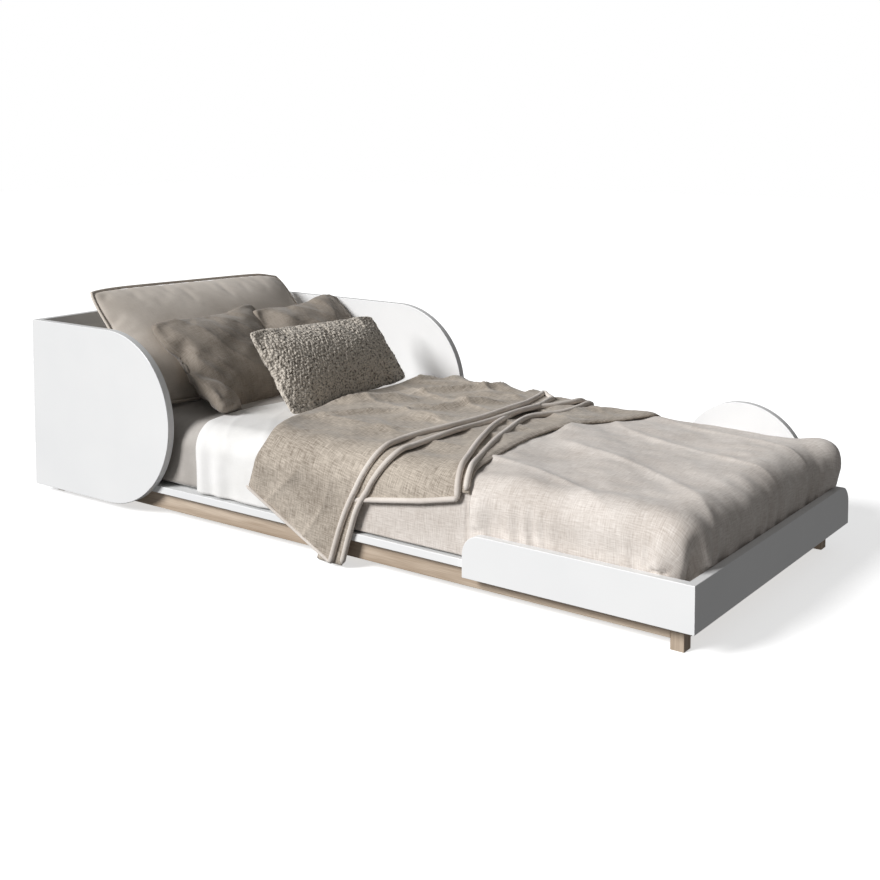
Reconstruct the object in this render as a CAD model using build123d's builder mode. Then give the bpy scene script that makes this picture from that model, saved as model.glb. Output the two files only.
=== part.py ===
from build123d import *
import os

# Low junior bed for a small child. Frame of reference: the origin is on the floor under the
# centre of the frame's outline, +X runs from the head to the foot, the entry side faces -Y,
# the wall side faces +Y, and +Z is up. All sizes are millimetres.

# Outline of the lacquered frame
bed_length = 1960.0
bed_width = 850.0
panel_t = 20.0
edge_round = 1.5

# Head box: a back panel between two guards whose free ends are half circles
head_bottom = 19.0
head_top = 473.0
guard_r = (head_top - head_bottom) / 2
near_guard_arc_x = -672.0
far_guard_arc_x = -365.0

# Low foot boards and the half-round guard on the wall side
foot_bottom = 55.0
foot_top = 150.0
near_board_start = 450.0
foot_corner_r = 45.0
disc_x = 717.0
disc_r = 165.0

# Lacquered platform boards on top of the oak underframe
platform_top = 86.0
board_t = 18.0
side_board_w = 55.0
end_board_w = 55.0

# Oak underframe
rail_bottom = 22.0
leg_size = 30.0
leg_inset_y = 40.0
leg_inset_x = 39.0
ledger_w = 30.0
ledger_bottom = 38.0
beam_w = 50.0
beam_bottom = 28.0
slat_count = 14
slat_w = 70.0
slat_gap_end = 1.0
centre_leg_size = 40.0
centre_leg_pitch = 455.0

# Fasteners
cam_r = 7.5
cam_depth = 13.0
cam_reach = 30.0
bolt_r = 3.0
bolt_into_panel = 11.0
dowel_r = 4.0
dowel_offset = 40.0
dowel_into_board = 20.0
dowel_into_panel = 10.0
hex_head_r = 6.0
hex_head_t = 5.0
barrel_r = 5.0
bracket_leg = 19.0
fastener_gap = 0.2
bracket_t = 3.0

# Mattress and bedding
mattress_length = 1900.0
mattress_width = 788.0
mattress_t = 165.0
mattress_x = -7.0
mattress_corner_r = 60.0
mattress_edge_r = 25.0
sheet_t = 1.5
bedspread_t = 6.0
throw_gap = 12.0
throw_t = 8.0

half_l = bed_length / 2
half_w = bed_width / 2
inner_l = half_l - panel_t
inner_w = half_w - panel_t
board_bottom = platform_top - board_t
board_mid = platform_top - board_t / 2
leg_outer_x = half_l - leg_inset_x
leg_inner_x = leg_outer_x - leg_size
leg_outer_y = half_w - leg_inset_y
leg_inner_y = leg_outer_y - leg_size
slat_zone = inner_l - end_board_w
board_inner_y = inner_w - side_board_w
mattress_top = platform_top + mattress_t
near = -1
far = 1
head = -1
foot = 1

os.makedirs("parts", exist_ok=True)


def save(piece, name):
    """Labels a finished piece and writes it as its own STEP file."""
    piece.part.label = name
    export_step(piece.part, f"parts/{name}.step")


def block(x0, x1, y0, y1, z0, z1, mode=Mode.ADD):
    """A square-cornered block between two opposite corners."""
    with Locations(((x0 + x1) / 2, (y0 + y1) / 2, z0)):
        Box(x1 - x0, y1 - y0, z1 - z0, align=(Align.CENTER, Align.CENTER, Align.MIN), mode=mode)


def rods(spots, toward, start, end, radius, mode=Mode.ADD):
    """Round bars, or holes, that run along `toward` from start to end past each spot."""
    for spot in spots:
        with Locations(Plane(origin=Vector(*spot) + Vector(*toward) * start, z_dir=toward)):
            Cylinder(radius, end - start, align=(Align.CENTER, Align.CENTER, Align.MIN), mode=mode)


# Where panels meet platform boards: (points on the joint face, direction into the panel)
near_side_joints = [(x, -inner_w, board_mid) for x in (-880.0, -600.0, 510.0, 860.0)]
far_side_joints = [(x, inner_w, board_mid) for x in (-880.0, -570.0, -270.0, 600.0, 834.0)]
head_joints = [(-inner_l, y, board_mid) for y in (-250.0, 0.0, 250.0)]
foot_joints = [(inner_l, y, board_mid) for y in (-250.0, 0.0, 250.0)]
panel_joints = [
    (near_side_joints, (0, -1, 0), (1, 0, 0)),
    (far_side_joints, (0, 1, 0), (1, 0, 0)),
    (head_joints, (-1, 0, 0), (0, 1, 0)),
    (foot_joints, (1, 0, 0), (0, 1, 0)),
]


def beside(spots, along):
    """The two dowel positions beside each cam bolt."""
    return [tuple(Vector(*s) + Vector(*along) * d) for s in spots for d in (-dowel_offset, dowel_offset)]


def joint_holes(spots, toward, along):
    """Bolt and dowel holes shared by a panel and the board it meets, and the board's cam seats."""
    rods(spots, toward, -cam_reach, bolt_into_panel, bolt_r, Mode.SUBTRACT)
    rods(beside(spots, along), toward, -dowel_into_board, dowel_into_panel, dowel_r, Mode.SUBTRACT)
    seats = [tuple(Vector(*s) - Vector(*toward) * cam_reach) for s in spots]
    rods(seats, (0, 0, 1), board_t / 2 - cam_depth, board_t / 2, cam_r, Mode.SUBTRACT)


# ---- Lacquered panels ----
def soften(piece, keep_x):
    """Rounds every edge of a panel except those on its mitred end at x = keep_x."""
    edges = [e for e in piece.edges() if abs(e.center().X - keep_x) > 1.0]
    fillet(edges, edge_round)


def mitre(corner_x, inner_x, side, z0, z1):
    """Cuts a side panel back to the 45 degree plane of a corner of the box."""
    with BuildSketch(Plane.XY.offset(z0)) as waste:
        with BuildLine():
            Polyline(
                (corner_x, side * half_w),
                (corner_x, side * inner_w),
                (inner_x, side * inner_w),
                close=True,
            )
        make_face()
    extrude(waste.sketch, amount=z1 - z0, mode=Mode.SUBTRACT)


def end_mitres(corner_x, inner_x, sides, z0, z1):
    """Cuts the ends of a head or foot panel to match the mitred side panels."""
    for side in sides:
        with BuildSketch(Plane.XY.offset(z0)) as waste:
            with BuildLine():
                Polyline(
                    (corner_x, side * half_w),
                    (inner_x, side * half_w),
                    (inner_x, side * inner_w),
                    close=True,
                )
            make_face()
        extrude(waste.sketch, amount=z1 - z0, mode=Mode.SUBTRACT)


def side_plane(side):
    """The XZ plane that a side panel is extruded from, towards -Y."""
    return Plane.XZ.offset(inner_w if side == near else -half_w)


def head_guard(side, arc_x, joints):
    """A tall side guard of the head box, with a half-round free end."""
    with BuildPart() as guard:
        with BuildSketch(side_plane(side)):
            with BuildLine():
                Polyline(
                    (arc_x, head_bottom),
                    (-half_l, head_bottom),
                    (-half_l, head_top),
                    (arc_x, head_top),
                )
                ThreePointArc(
                    (arc_x, head_top),
                    (arc_x + guard_r, head_bottom + guard_r),
                    (arc_x, head_bottom),
                )
            make_face()
        extrude(amount=panel_t)
        soften(guard, -half_l)
        mitre(-half_l, -inner_l, side, head_bottom, head_top)
        joint_holes(joints, (0, side, 0), (1, 0, 0))
    return guard


near_head_guard = head_guard(near, near_guard_arc_x, [s for s in near_side_joints if s[0] < 0])
save(near_head_guard, "near_head_guard")
far_head_guard = head_guard(far, far_guard_arc_x, [s for s in far_side_joints if s[0] < 0])
save(far_head_guard, "far_head_guard")

with BuildPart() as head_panel:
    block(-half_l, -inner_l, -half_w, half_w, head_bottom, head_top)
    fillet(head_panel.edges().filter_by(Axis.Y), edge_round)
    end_mitres(-half_l, -inner_l, (near, far), head_bottom, head_top)
    joint_holes(head_joints, (-1, 0, 0), (0, 1, 0))
save(head_panel, "head_panel")

with BuildPart() as near_foot_board:
    with BuildSketch(side_plane(near)):
        with BuildLine():
            Polyline(
                (near_board_start + foot_corner_r, foot_top),
                (half_l, foot_top),
                (half_l, foot_bottom),
                (near_board_start, foot_bottom),
                (near_board_start, foot_top - foot_corner_r),
            )
            RadiusArc(
                (near_board_start, foot_top - foot_corner_r),
                (near_board_start + foot_corner_r, foot_top),
                foot_corner_r,
            )
        make_face()
    extrude(amount=panel_t)
    soften(near_foot_board, half_l)
    mitre(half_l, inner_l, near, foot_bottom, foot_top)
    joint_holes([s for s in near_side_joints if s[0] > 0], (0, -1, 0), (1, 0, 0))
save(near_foot_board, "near_foot_board")

with BuildPart() as foot_board:
    block(inner_l, half_l, -half_w, half_w, foot_bottom, foot_top)
    far_end = foot_board.faces().sort_by(Axis.Y)[-1]
    fillet(far_end.edges().filter_by(Axis.X).sort_by(Axis.Z)[-1], foot_corner_r)
    soft_edges = [e for e in foot_board.edges() if e.center().Y > -half_w + 1.0]
    fillet(soft_edges, edge_round)
    end_mitres(half_l, inner_l, (near,), foot_bottom, foot_top)
    joint_holes(foot_joints, (1, 0, 0), (0, 1, 0))
save(foot_board, "foot_board")

with BuildPart() as far_foot_guard:
    with BuildSketch(side_plane(far)):
        with BuildLine():
            Polyline(
                (disc_x - disc_r, foot_top),
                (disc_x - disc_r, foot_bottom),
                (disc_x + disc_r, foot_bottom),
                (disc_x + disc_r, foot_top),
            )
            ThreePointArc(
                (disc_x + disc_r, foot_top),
                (disc_x, foot_top + disc_r),
                (disc_x - disc_r, foot_top),
            )
        make_face()
    extrude(amount=panel_t)
    fillet(far_foot_guard.edges(), edge_round)
    joint_holes([s for s in far_side_joints if s[0] > 0], (0, 1, 0), (1, 0, 0))
save(far_foot_guard, "far_foot_guard")


# ---- Platform boards ----
screw_r = 2.0
screw_head_r = 4.5
screw_head_t = 3.0
board_screw_x = [-800.0, -400.0, 0.0, 400.0, 800.0]
board_screw_y = [-200.0, 200.0]
side_screws = [(x, side * (leg_outer_y - 15.0), 0.0) for side in (near, far) for x in board_screw_x]
end_screws = [(end * (leg_inner_x + 15.0), y, 0.0) for end in (head, foot) for y in board_screw_y]
board_screw_top = platform_top - 6.0
board_screw_seat = 40.0


def side_board(side, joints):
    """A long platform board that overhangs the oak rail below it."""
    y_edges = sorted((side * inner_w, side * board_inner_y))
    with BuildPart() as board:
        block(-inner_l, inner_l, *y_edges, board_bottom, platform_top)
        outer = board.faces().sort_by(Axis.Y)[0 if side == near else -1]
        fillet(outer.edges().filter_by(Axis.X), edge_round)
        joint_holes(joints, (0, side, 0), (1, 0, 0))
        own_screws = [s for s in side_screws if s[1] * side > 0]
        rods(own_screws, (0, 0, 1), board_bottom, board_screw_top, screw_r, Mode.SUBTRACT)
    return board


def end_board(end, joints):
    """A short platform board between the side boards, against the head or foot panel."""
    x_edges = sorted((end * inner_l, end * slat_zone))
    with BuildPart() as board:
        block(*x_edges, -board_inner_y, board_inner_y, board_bottom, platform_top)
        joint_holes(joints, (end, 0, 0), (0, 1, 0))
        own_screws = [s for s in end_screws if s[0] * end > 0]
        rods(own_screws, (0, 0, 1), board_bottom, board_screw_top, screw_r, Mode.SUBTRACT)
    return board


save(side_board(near, near_side_joints), "near_side_board")
save(side_board(far, far_side_joints), "far_side_board")
save(end_board(head, head_joints), "head_end_board")
save(end_board(foot, foot_joints), "foot_end_board")

# ---- Oak underframe ----
long_bolt_z = board_bottom - 11.0
cross_bolt_z = board_bottom - 25.0
bolt_reach = 65.0
barrel_setback = 55.0
barrel_half = 10.0
rail_mid_y = (leg_outer_y + leg_inner_y) / 2
cross_mid_x = (leg_outer_x + leg_inner_x) / 2
long_bolts = {
    end: [(end * leg_outer_x, side * rail_mid_y, long_bolt_z) for side in (near, far)]
    for end in (head, foot)
}
cross_bolts = {
    side: [(end * cross_mid_x, side * leg_outer_y, cross_bolt_z) for end in (head, foot)]
    for side in (near, far)
}


def bolt_holes(mode=Mode.SUBTRACT):
    """The paths of the frame bolts, from the head's seat in the leg to past the barrel nut."""
    for end, spots in long_bolts.items():
        rods(spots, (-end, 0, 0), 0.0, hex_head_t, hex_head_r, mode)
        rods(spots, (-end, 0, 0), hex_head_t, bolt_reach, bolt_r, mode)
    for side, spots in cross_bolts.items():
        rods(spots, (0, -side, 0), 0.0, hex_head_t, hex_head_r, mode)
        rods(spots, (0, -side, 0), hex_head_t, bolt_reach, bolt_r, mode)


def barrel_holes(mode=Mode.SUBTRACT):
    """The cross-drilled seats of the barrel nuts in the rails."""
    for end, spots in long_bolts.items():
        seats = [(s[0] - end * barrel_setback, s[1], s[2]) for s in spots]
        rods(seats, (0, 1, 0), -barrel_half, barrel_half, barrel_r, mode)
    for side, spots in cross_bolts.items():
        seats = [(s[0], s[1] - side * barrel_setback, s[2]) for s in spots]
        rods(seats, (1, 0, 0), -barrel_half, barrel_half, barrel_r, mode)


ledger_screw_x = [-646.0, -259.0, 129.0, 517.0]
ledger_screw_z = 53.0
ledger_screw_bite = 15.0
ledger_screws = [
    (x, side * (leg_inner_y - ledger_w), ledger_screw_z) for side in (near, far) for x in ledger_screw_x
]


def ledger_screw_holes(radius, mode=Mode.SUBTRACT):
    """Screws that fasten each ledger to the inner face of its rail."""
    for side in (near, far):
        own = [s for s in ledger_screws if s[1] * side > 0]
        rods(own, (0, side, 0), 0.0, ledger_w + ledger_screw_bite, radius, mode)


beam_screw_y = (-12.0, 12.0)
beam_screw_z = 48.0
beam_screw_bite = 35.0
beam_screws = {end: [(end * leg_outer_x, y, beam_screw_z) for y in beam_screw_y] for end in (head, foot)}


def beam_screw_holes(radius, mode=Mode.SUBTRACT):
    """Screws through each cross rail into the end of the centre beam."""
    for end, spots in beam_screws.items():
        rods(spots, (-end, 0, 0), 0.0, leg_size + beam_screw_bite, radius, mode)


def board_screw_holes(mode=Mode.SUBTRACT):
    """Screws from under the rails up into the platform boards."""
    rods(side_screws + end_screws, (0, 0, 1), rail_bottom, board_screw_seat, screw_head_r, mode)
    rods(side_screws + end_screws, (0, 0, 1), board_screw_seat, board_screw_top, screw_r, mode)


leg_edge_r = 2.0
for side, side_name in ((near, "near"), (far, "far")):
    rail_y = sorted((side * leg_outer_y, side * leg_inner_y))
    with BuildPart() as long_rail:
        block(-leg_inner_x, leg_inner_x, *rail_y, rail_bottom, board_bottom)
        fillet(long_rail.edges().filter_by(Axis.X), edge_round)
        bolt_holes()
        barrel_holes()
        ledger_screw_holes(screw_r)
        board_screw_holes()
    save(long_rail, f"{side_name}_oak_rail")
    for end, end_name in ((head, "head"), (foot, "foot")):
        leg_x = sorted((end * leg_outer_x, end * leg_inner_x))
        with BuildPart() as leg:
            block(*leg_x, *rail_y, 0.0, board_bottom)
            fillet(leg.edges().filter_by(Axis.Z), leg_edge_r)
            bolt_holes()
        save(leg, f"{side_name}_{end_name}_leg")
    ledger_y = sorted((side * leg_inner_y, side * (leg_inner_y - ledger_w)))
    with BuildPart() as ledger:
        block(-leg_inner_x, leg_inner_x, *ledger_y, ledger_bottom, board_bottom)
        ledger_screw_holes(screw_r)
        slat_screw_y = side * (leg_inner_y - 15.0)
        slat_pitch = 2 * slat_zone / slat_count
        slat_x = [-slat_zone + slat_pitch * (i + 0.5) for i in range(slat_count)]
        slat_spots = [(x, slat_screw_y, 0.0) for x in slat_x]
        rods(slat_spots, (0, 0, 1), 45.0, board_bottom, screw_r, Mode.SUBTRACT)
    save(ledger, f"{side_name}_slat_ledger")

for end, end_name in ((head, "head"), (foot, "foot")):
    cross_x = sorted((end * leg_outer_x, end * leg_inner_x))
    with BuildPart() as cross_rail:
        block(*cross_x, -leg_inner_y, leg_inner_y, rail_bottom, board_bottom)
        fillet(cross_rail.edges().filter_by(Axis.Y), edge_round)
        bolt_holes()
        barrel_holes()
        beam_screw_holes(screw_r)
        board_screw_holes()
    save(cross_rail, f"{end_name}_cross_rail")

centre_leg_spots = [(x, 0.0, 0.0) for x in (-centre_leg_pitch, 0.0, centre_leg_pitch)]
centre_bolt_r = 4.0
centre_bolt_bottom = 8.0
centre_bolt_top = 52.0
with BuildPart() as centre_beam:
    block(-leg_inner_x, leg_inner_x, -beam_w / 2, beam_w / 2, beam_bottom, board_bottom)
    beam_screw_holes(screw_r)
    rods(centre_leg_spots, (0, 0, 1), beam_bottom, centre_bolt_top, centre_bolt_r, Mode.SUBTRACT)
save(centre_beam, "centre_beam")

for number, spot in enumerate(centre_leg_spots, start=1):
    with BuildPart() as centre_leg:
        half = centre_leg_size / 2
        block(spot[0] - half, spot[0] + half, -half, half, 0.0, beam_bottom)
        fillet(centre_leg.edges().filter_by(Axis.Z), leg_edge_r)
        rods([spot], (0, 0, 1), centre_bolt_bottom, beam_bottom, centre_bolt_r, Mode.SUBTRACT)
    save(centre_leg, f"centre_leg_{number}")

# ---- Slats ----
slat_edge_r = 4.0
slat_screw_r = 1.8
slat_head_r = 3.5
slat_head_t = 2.5
slat_head_seat = platform_top - 3.0
slat_screw_bottom = 50.0
slat_end_y = board_inner_y - slat_gap_end
slat_screw_spots = [(x, side * (leg_inner_y - 15.0), 0.0) for x in slat_x for side in (near, far)]
for number, x in enumerate(slat_x, start=1):
    with BuildPart() as slat:
        block(x - slat_w / 2, x + slat_w / 2, -slat_end_y, slat_end_y, board_bottom, platform_top)
        fillet(slat.edges().filter_by(Axis.Y), slat_edge_r)
        own_screws = [s for s in slat_screw_spots if s[0] == x]
        rods(own_screws, (0, 0, 1), board_bottom, slat_head_seat, slat_screw_r, Mode.SUBTRACT)
        rods(own_screws, (0, 0, 1), slat_head_seat, platform_top, slat_head_r, Mode.SUBTRACT)
    save(slat, f"slat_{number:02d}")

# ---- Fasteners, each kind in one node ----
with BuildPart() as slat_screws:
    rods(slat_screw_spots, (0, 0, 1), slat_screw_bottom, slat_head_seat, slat_screw_r)
    rods(slat_screw_spots, (0, 0, 1), slat_head_seat, slat_head_seat + slat_head_t, slat_head_r)
save(slat_screws, "slat_screws")

with BuildPart() as cams:
    for spots, toward, _ in panel_joints:
        seats = [tuple(Vector(*s) - Vector(*toward) * cam_reach) for s in spots]
        rods(seats, (0, 0, 1), board_t / 2 - cam_depth, board_t / 2 - 0.5, cam_r)
save(cams, "cam_locks")

with BuildPart() as cam_bolts:
    for spots, toward, _ in panel_joints:
        rods(spots, toward, cam_r - cam_reach + fastener_gap, bolt_into_panel, bolt_r)
save(cam_bolts, "cam_bolts")

with BuildPart() as dowels:
    for spots, toward, along in panel_joints:
        rods(beside(spots, along), toward, -dowel_into_board, dowel_into_panel, dowel_r)
save(dowels, "wood_dowels")

with BuildPart() as frame_bolts:
    for end, spots in long_bolts.items():
        rods(spots, (-end, 0, 0), 1.0, hex_head_t, hex_head_r)
        rods(spots, (-end, 0, 0), hex_head_t, barrel_setback - barrel_r, bolt_r)
    for side, spots in cross_bolts.items():
        rods(spots, (0, -side, 0), 1.0, hex_head_t, hex_head_r)
        rods(spots, (0, -side, 0), hex_head_t, barrel_setback - barrel_r, bolt_r)
save(frame_bolts, "frame_bolts")

with BuildPart() as barrel_nuts:
    barrel_holes(Mode.ADD)
save(barrel_nuts, "barrel_nuts")

with BuildPart() as board_screws:
    rods(side_screws + end_screws, (0, 0, 1), board_screw_seat - screw_head_t, board_screw_seat, screw_head_r)
    rods(side_screws + end_screws, (0, 0, 1), board_screw_seat, board_screw_top, screw_r)
save(board_screws, "board_screws")

with BuildPart() as rail_screws:
    ledger_screw_holes(screw_r, Mode.ADD)
    beam_screw_holes(screw_r, Mode.ADD)
save(rail_screws, "rail_screws")

with BuildPart() as centre_leg_bolts:
    rods(centre_leg_spots, (0, 0, 1), centre_bolt_bottom, centre_bolt_top, centre_bolt_r)
save(centre_leg_bolts, "centre_leg_bolts")

# Steel angles inside the three mitred corners, below the platform
corner_places = [
    (-inner_l, -inner_w, 1, 1, 28.0, 62.0),
    (-inner_l, inner_w, 1, -1, 28.0, 62.0),
    (inner_l, -inner_w, -1, 1, 57.0, 67.0),
]
with BuildPart() as corner_angles:
    for corner_x, corner_y, dx, dy, z0, z1 in corner_places:
        arm_x = sorted((corner_x, corner_x + dx * bracket_t))
        arm_y = sorted((corner_y, corner_y + dy * bracket_t))
        long_x = sorted((corner_x, corner_x + dx * bracket_leg))
        long_y = sorted((corner_y, corner_y + dy * bracket_leg))
        block(*arm_x, *long_y, z0, z1)
        block(*long_x, *arm_y, z0, z1)
save(corner_angles, "corner_angles")


# ---- Mattress and bedding ----
def mattress_body(grow, bottom):
    """The rounded mattress block, grown outwards by `grow` on its sides and top."""
    with BuildSketch(Plane.XY.offset(bottom)) as outline:
        with Locations((mattress_x, 0)):
            RectangleRounded(
                mattress_length + 2 * grow,
                mattress_width + 2 * grow,
                mattress_corner_r + grow,
            )
    extrude(outline.sketch, amount=mattress_top + grow - bottom)


with BuildPart() as mattress:
    mattress_body(0.0, platform_top)
    fillet(mattress.faces().sort_by(Axis.Z)[0].edges(), mattress_edge_r)
    fillet(mattress.faces().sort_by(Axis.Z)[-1].edges(), mattress_edge_r)
save(mattress, "mattress")


def cover_block(grow, bottom):
    """A solid block of the shape of the mattress's top and sides, grown by `grow`."""
    with BuildPart() as solid_cover:
        mattress_body(grow, bottom)
        fillet(solid_cover.faces().sort_by(Axis.Z)[-1].edges(), mattress_edge_r + grow)
    return solid_cover.part


def bed_cover(inner, thickness, bottom, x0, x1):
    """A thin cover over the mattress between two stations along the bed."""
    with BuildPart() as cover:
        add(cover_block(inner + thickness, bottom))
        add(cover_block(inner, bottom), mode=Mode.SUBTRACT)
        block(x0, x1, -half_w, half_w, 0.0, head_top, mode=Mode.INTERSECT)
    return cover


skirt_bottom = 112.0
flat_sheet_bottom = 94.0
bedspread_bottom = 92.0
save(bed_cover(0.0, sheet_t, skirt_bottom, -half_l, half_l), "fitted_sheet")
save(bed_cover(sheet_t, sheet_t, flat_sheet_bottom, -330.0, 200.0), "flat_sheet")
save(bed_cover(2 * sheet_t, bedspread_t, bedspread_bottom, -60.0, half_l), "bedspread")

# The throw lies across the bed, and its entry-side corner hangs over the platform board
throw_on_top = [
    (-190.0, -330.0),
    (-242.0, -181.0),
    (-300.0, 60.0),
    (-292.0, 316.0),
    (-230.0, 385.0),
    (285.0, 385.0),
    (264.0, 130.0),
    (369.0, -248.0),
    (420.0, -330.0),
]
throw_hang = [
    (-190.0, 290.0),
    (-199.0, 141.0),
    (85.0, 6.0),
    (114.0, 6.0),
    (150.0, 165.0),
    (420.0, 215.0),
    (420.0, 290.0),
]
throw_split_y = -330.0
with BuildPart() as throw_region:
    with BuildSketch(Plane.XY.offset(mattress_top - 20.0)):
        with BuildLine():
            Polyline(*throw_on_top, close=True)
        make_face()
    extrude(amount=80.0)
    with BuildSketch(Plane.XZ.offset(-throw_split_y)):
        with BuildLine():
            Polyline(*throw_hang, close=True)
        make_face()
    extrude(amount=half_w + throw_split_y)
with BuildPart() as throw:
    add(cover_block(throw_gap + throw_t, 5.0))
    add(cover_block(throw_gap, 5.0), mode=Mode.SUBTRACT)
    add(throw_region.part, mode=Mode.INTERSECT)
save(throw, "throw_blanket")


def pillow(centre, size, tilt, turn):
    """A plump rounded pillow that leans back by `tilt` degrees, turned by `turn` about the vertical."""
    width, height, depth = size
    across = Vector(0, 1, 0).rotate(Axis.Z, turn)
    outward = Vector(1, 0, 0).rotate(Axis.Y, -tilt).rotate(Axis.Z, turn)
    with BuildPart() as body:
        with BuildSketch(Plane(origin=centre, x_dir=across, z_dir=outward)):
            RectangleRounded(width, height, depth * 0.7)
        extrude(amount=depth / 2, both=True)
        fillet(body.edges(), depth * 0.47)
    return body


pillow_shapes = {
    "backrest_cushion": ((-708.0, 22.0, 406.0), (700.0, 384.0, 80.0), 42.7, 0.0),
    "linen_pillow_near": ((-555.0, -110.0, 385.0), (380.0, 280.0, 92.0), 45.0, 0.0),
    "linen_pillow_far": ((-530.0, 243.0, 388.0), (300.0, 280.0, 92.0), 45.0, -8.0),
    "boucle_pillow": ((-318.0, 30.0, 377.0), (470.0, 240.0, 84.0), 38.0, 0.0),
}
for pillow_name, shape in pillow_shapes.items():
    save(pillow(*shape), pillow_name)
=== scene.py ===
import math

import bpy
import numpy as np
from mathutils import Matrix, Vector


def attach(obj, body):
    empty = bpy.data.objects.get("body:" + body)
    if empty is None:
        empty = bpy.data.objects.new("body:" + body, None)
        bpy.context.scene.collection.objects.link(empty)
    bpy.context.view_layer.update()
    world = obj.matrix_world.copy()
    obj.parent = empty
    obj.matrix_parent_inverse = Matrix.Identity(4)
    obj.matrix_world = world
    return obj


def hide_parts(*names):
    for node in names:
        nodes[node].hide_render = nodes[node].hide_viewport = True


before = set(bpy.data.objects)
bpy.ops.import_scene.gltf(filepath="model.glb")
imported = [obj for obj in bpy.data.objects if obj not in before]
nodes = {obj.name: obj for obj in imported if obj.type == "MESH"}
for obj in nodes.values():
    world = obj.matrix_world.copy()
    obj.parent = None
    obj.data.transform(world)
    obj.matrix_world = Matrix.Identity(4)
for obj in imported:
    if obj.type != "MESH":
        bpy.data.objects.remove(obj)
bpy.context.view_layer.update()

# Lengths below are millimetres in the shared frame; meshes are made in metres.
MM = 0.001

# Foam block under the bedding: centre, half sizes, height, plan corners and edge rounding
MID_X = -7.0
HALF_L = 950.0
HALF_W = 389.0
BED_TOP = 251.0
BED_BOTTOM = 88.0
CORNER = 84.0
EDGE = 56.0
EDGE_ARC = EDGE * math.pi / 2

# How far each layer of cloth lies above the foam, and how thick it is
FITTED_LIFT = 2.0
SHEET_LIFT = 5.0
SPREAD_LIFT = 9.0
FOLD_LIFTS = {"under": 16.0, "second": 21.0, "double": 25.0, "top": 29.0}
FITTED_T = 1.2
SHEET_T = 1.5
SPREAD_T = 2.2
THROW_T = 3.0

# Heights of the hems above the floor
FITTED_HEM = 100.0
SHEET_HEM = 91.0
SPREAD_HEM = 92.0

# Faces of the boards and panels beside the mattress, and how far each of them reaches
BOARD_Y = 403.6
BOARD_X = 958.4
LOW_BOARD_TOP = 158.0
NEAR_BOARD_START = 440.0
FOOT_BOARD_START = 900.0
DISC_REACH = (545.0, 890.0)
DISC_TOP = 320.0
FAR_GUARD_END = -130.0
NEAR_GUARD_END = -440.0
HEAD_TOP = 480.0


# ---- Materials ----
def add_node(tree, kind, **settings):
    """A new shader node with some of its settings."""
    made = tree.nodes.new(kind)
    for key, value in settings.items():
        setattr(made, key, value)
    return made


def combine(tree, operation, first, second):
    """A maths node on two sockets, or on a socket and a number."""
    made = add_node(tree, "ShaderNodeMath", operation=operation)
    for index, value in enumerate((first, second)):
        if isinstance(value, (int, float)):
            made.inputs[index].default_value = value
        else:
            tree.links.new(value, made.inputs[index])
    return made.outputs[0]


def speckle(tree, vector, stretch, scale, detail=3.0, roughness=0.55):
    """Noise on stretched coordinates."""
    mapping = add_node(tree, "ShaderNodeMapping")
    mapping.inputs["Scale"].default_value = stretch
    tree.links.new(vector, mapping.inputs["Vector"])
    noise = add_node(tree, "ShaderNodeTexNoise")
    noise.inputs["Scale"].default_value = scale
    noise.inputs["Detail"].default_value = detail
    noise.inputs["Roughness"].default_value = roughness
    tree.links.new(mapping.outputs[0], noise.inputs["Vector"])
    return noise.outputs[0]


def between(tree, value, low, high, start=0.35, end=0.65):
    """Maps a value from start-end to low-high."""
    made = add_node(tree, "ShaderNodeMapRange")
    made.inputs["From Min"].default_value = start
    made.inputs["From Max"].default_value = end
    made.inputs["To Min"].default_value = low
    made.inputs["To Max"].default_value = high
    tree.links.new(value, made.inputs["Value"])
    return made.outputs[0]


def tint(tree, value, stops):
    """A colour ramp from (position, colour) stops."""
    ramp = add_node(tree, "ShaderNodeValToRGB").color_ramp
    while len(ramp.elements) < len(stops):
        ramp.elements.new(0.5)
    for element, (position, colour) in zip(ramp.elements, stops):
        element.position = position
        element.color = (*colour, 1.0)
    made = tree.nodes[-1]
    tree.links.new(value, made.inputs[0])
    return made.outputs[0]


def surface(name, colour_of, constants):
    """A Principled material; colour_of builds its nodes and gives colour, roughness, height, bump."""
    made = bpy.data.materials.new(name)
    made.use_nodes = True
    tree = made.node_tree
    shader = tree.nodes["Principled BSDF"]
    colour, rough, height, distance = colour_of(tree)
    tree.links.new(colour, shader.inputs["Base Color"])
    tree.links.new(rough, shader.inputs["Roughness"])
    bump = add_node(tree, "ShaderNodeBump")
    bump.inputs["Strength"].default_value = 1.0
    bump.inputs["Distance"].default_value = distance
    tree.links.new(height, bump.inputs["Height"])
    tree.links.new(bump.outputs[0], shader.inputs["Normal"])
    for socket, value in constants.items():
        shader.inputs[socket].default_value = value
    return made


def shade(colour, factor):
    """A colour made lighter or darker."""
    return tuple(min(1.0, c * factor) for c in colour)


def lacquer(tree):
    """Sprayed matt lacquer with a faint orange peel."""
    place = add_node(tree, "ShaderNodeTexCoord").outputs["Object"]
    cloud = speckle(tree, place, (1, 1, 1), 3.0)
    peel = speckle(tree, place, (1, 1, 1), 420.0, 1.0)
    colour = tint(tree, cloud, [(0.3, (0.80, 0.805, 0.81)), (0.7, (0.85, 0.85, 0.85))])
    return colour, between(tree, peel, 0.36, 0.46), peel, 0.00004


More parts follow.
